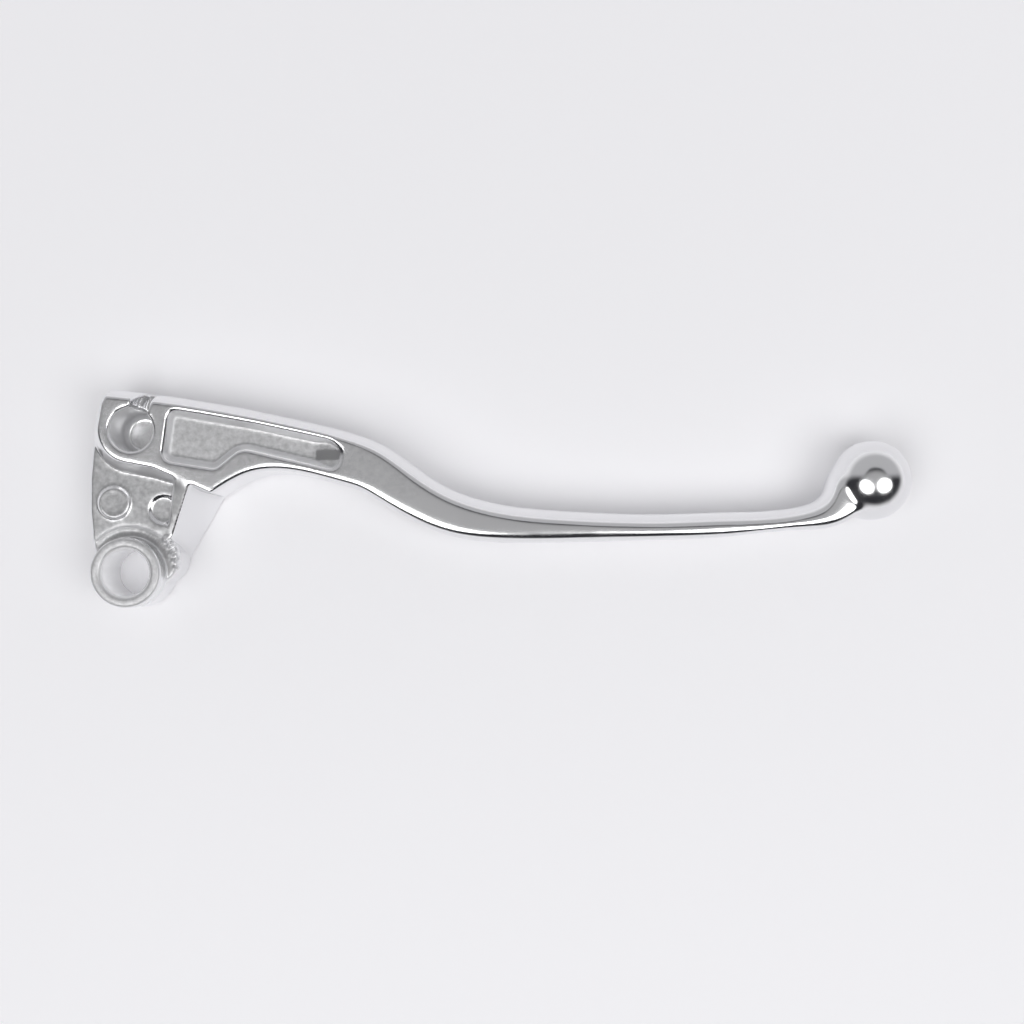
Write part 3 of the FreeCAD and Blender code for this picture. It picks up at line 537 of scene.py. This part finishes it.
paper = bpy.data.materials.new("pale_paper")
paper.use_nodes = True
sheet = paper.node_tree
shader = sheet.nodes["Principled BSDF"]
shader.inputs["Base Color"].default_value = PAPER
shader.inputs["Roughness"].default_value = 0.8
shader.inputs["Specular IOR Level"].default_value = 0.1
shader.inputs["Emission Color"].default_value = PAPER
seen = add(sheet, "ShaderNodeLightPath").outputs
from_spot = add(sheet, "ShaderNodeVectorMath", operation="DISTANCE")
from_spot.inputs[1].default_value = LIT_SPOT
sheet.links.new(add(sheet, "ShaderNodeTexCoord").outputs["Object"], from_spot.inputs[0])
lift = fade(sheet, from_spot.outputs["Value"], 0.25, 1.2, NEAR_LIFT, FAR_LIFT)
in_sight = math_node(sheet, "MAXIMUM", seen["Is Camera Ray"], seen["Is Glossy Ray"])
sheet.links.new(math_node(sheet, "MULTIPLY", in_sight, lift), shader.inputs["Emission Strength"])
floor.data.materials.append(paper)
print("paper with", len(sheet.nodes), "nodes")

# %% [markdown]
# ## The lamps
# Two soft lamps stand beside the camera and make the pair of white spots on the ball. Square soft
# boxes would do as well, but the spots on the real ball are round, so these are ovals. They are
# tilted away from straight up, so that the flat faces don't mirror them into the camera.

# %% Hang the lamps
MIDDLE = Vector((0.08, 0.016, 0.0))


def new_lamp(name, shape, width, depth, power):
    """A lamp with a flat face of that shape, which shines down."""
    lamp = bpy.data.lights.new(name, "AREA")
    lamp.shape = shape
    lamp.size = width
    lamp.size_y = depth
    lamp.energy = power
    holder = bpy.data.objects.new(name, lamp)
    bpy.context.scene.collection.objects.link(holder)
    return holder


def soft_lamp(name, tilt, heading, away, **face):
    """An oval lamp, tilted from straight up towards a heading in the floor, that faces the lever."""
    t, h = math.radians(tilt), math.radians(heading)
    out = Vector((math.sin(t) * math.cos(h), math.sin(t) * math.sin(h), math.cos(t)))
    holder = new_lamp(name, "ELLIPSE", **face)
    holder.location = MIDDLE + away * out
    holder.rotation_mode = "QUATERNION"
    holder.rotation_quaternion = out.to_track_quat("Z", "Y")


soft_lamp("left_lamp", tilt=31, heading=226, away=1.0, width=0.82, depth=0.64, power=3.6)
soft_lamp("right_lamp", tilt=33, heading=329, away=1.0, width=0.68, depth=0.70, power=3.5)
print("two lamps hung")

# %% [markdown]
# ## Light in the bore
# A bright bore works like a light pipe: its wall carries the light of the lamps down to the paper
# below, so the real bore looks pale inside. Following that light from mirror to mirror takes far more
# samples than a still picture has, so a weak small lamp in the mouth of the bore stands in for it.

# %% Light the bore
glow = new_lamp("bore_glow", "DISK", width=0.008, depth=0.008, power=0.0002)
glow.location = (0.0, 0.0, 0.0145)
print("one weak lamp in the bore")

# %% [markdown]
# ## The room
# The metal mirrors a whole room, so the world stands in for it. A box of walls could be built, but
# a colour for each direction is simpler to set. The room is dark, with a grey ceiling over the lever,
# a pale sheet that sweeps up behind it, and pale walls near the floor. The sheet and walls give the
# flanks their white, the ceiling gives the upper faces their grey, and the dark draws the lines.

# %% Room helpers
world = bpy.data.worlds.new("studio")
bpy.context.scene.world = world
world.use_nodes = True
sky = world.node_tree
ray = add(sky, "ShaderNodeSeparateXYZ")
sky.links.new(add(sky, "ShaderNodeTexCoord").outputs["Generated"], ray.inputs[0])


def blend(first, second, factor):
    """Mix of two colours, each a socket or plain numbers."""
    node = add(sky, "ShaderNodeMix", data_type="RGBA")
    sky.links.new(factor, node.inputs["Factor"])
    for socket, colour in zip((node.inputs["A"], node.inputs["B"]), (first, second)):
        if isinstance(colour, tuple):
            socket.default_value = colour
        else:
            sky.links.new(colour, socket)
    return node.outputs["Result"]


def oval(middle, reach):
    """1 at the edge of an oval seen from below: the sum of ((x - middle) / reach)^2 over both axes."""
    total = 0.0
    for axis, centre, size in zip("XY", middle, reach):
        share = math_node(sky, "DIVIDE", math_node(sky, "SUBTRACT", ray.outputs[axis], centre), size)
        total = math_node(sky, "ADD", math_node(sky, "MULTIPLY", share, share), total)
    return total


# %% Set the room
DARK = (0.02, 0.02, 0.024, 1)
CEILING = (0.40, 0.40, 0.405, 1)
SHEET = (0.48, 0.48, 0.493, 1)

up, back = ray.outputs["Z"], ray.outputs["Y"]
ceiling = fade(sky, oval((0.0, -0.02), (0.78, 0.54)), 1.0, 0.2)
ceiling = math_node(sky, "MULTIPLY", ceiling, fade(sky, up, 0.3, 0.5))
sheet_top = math_node(sky, "MULTIPLY", fade(sky, back, 0.0, 0.3), fade(sky, up, 0.86, 0.80))
low_walls = math_node(sky, "MULTIPLY", fade(sky, up, 0.35, 0.04), 0.9)
room = blend(DARK, CEILING, ceiling)
room = blend(room, SHEET, sheet_top)
room = blend(room, PAPER, low_walls)
sky.links.new(room, sky.nodes["Background"].inputs["Color"])
print("room with", len(sky.nodes), "nodes")

# %% [markdown]
# ## The camera
# The picture looks straight down from 0.294 m over the middle of the lever. That distance follows
# from how much larger the raised ball looks than the foot of the hub. The lever lies above the
# middle of the picture, so the lens is shifted a little along the picture, as on a view camera.

# %% Place the camera
FOCAL = 1320.0
SHIFT = 63.0
PICTURE = 1024.0
camera = bpy.data.objects.new("camera", bpy.data.cameras.new("camera"))
camera.data.sensor_width = 36.0
camera.data.lens = FOCAL / PICTURE * camera.data.sensor_width
camera.data.shift_y = SHIFT / PICTURE
camera.data.clip_start = 0.01
camera.location = (0.08192, -0.00051, 0.294)
bpy.context.scene.collection.objects.link(camera)
bpy.context.scene.camera = camera
bpy.context.scene.view_settings.view_transform = "Standard"
print("camera", round(camera.data.lens, 2), "mm lens")

# %% [markdown]
# ## The sizes
# The skin must not outgrow the CAD model that it stands for. The box of what is shown is printed.

# %% Write the sizes and finish
low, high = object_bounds()
print("visual box in mm:", [round(v / MM, 2) for v in (*low, *high)])
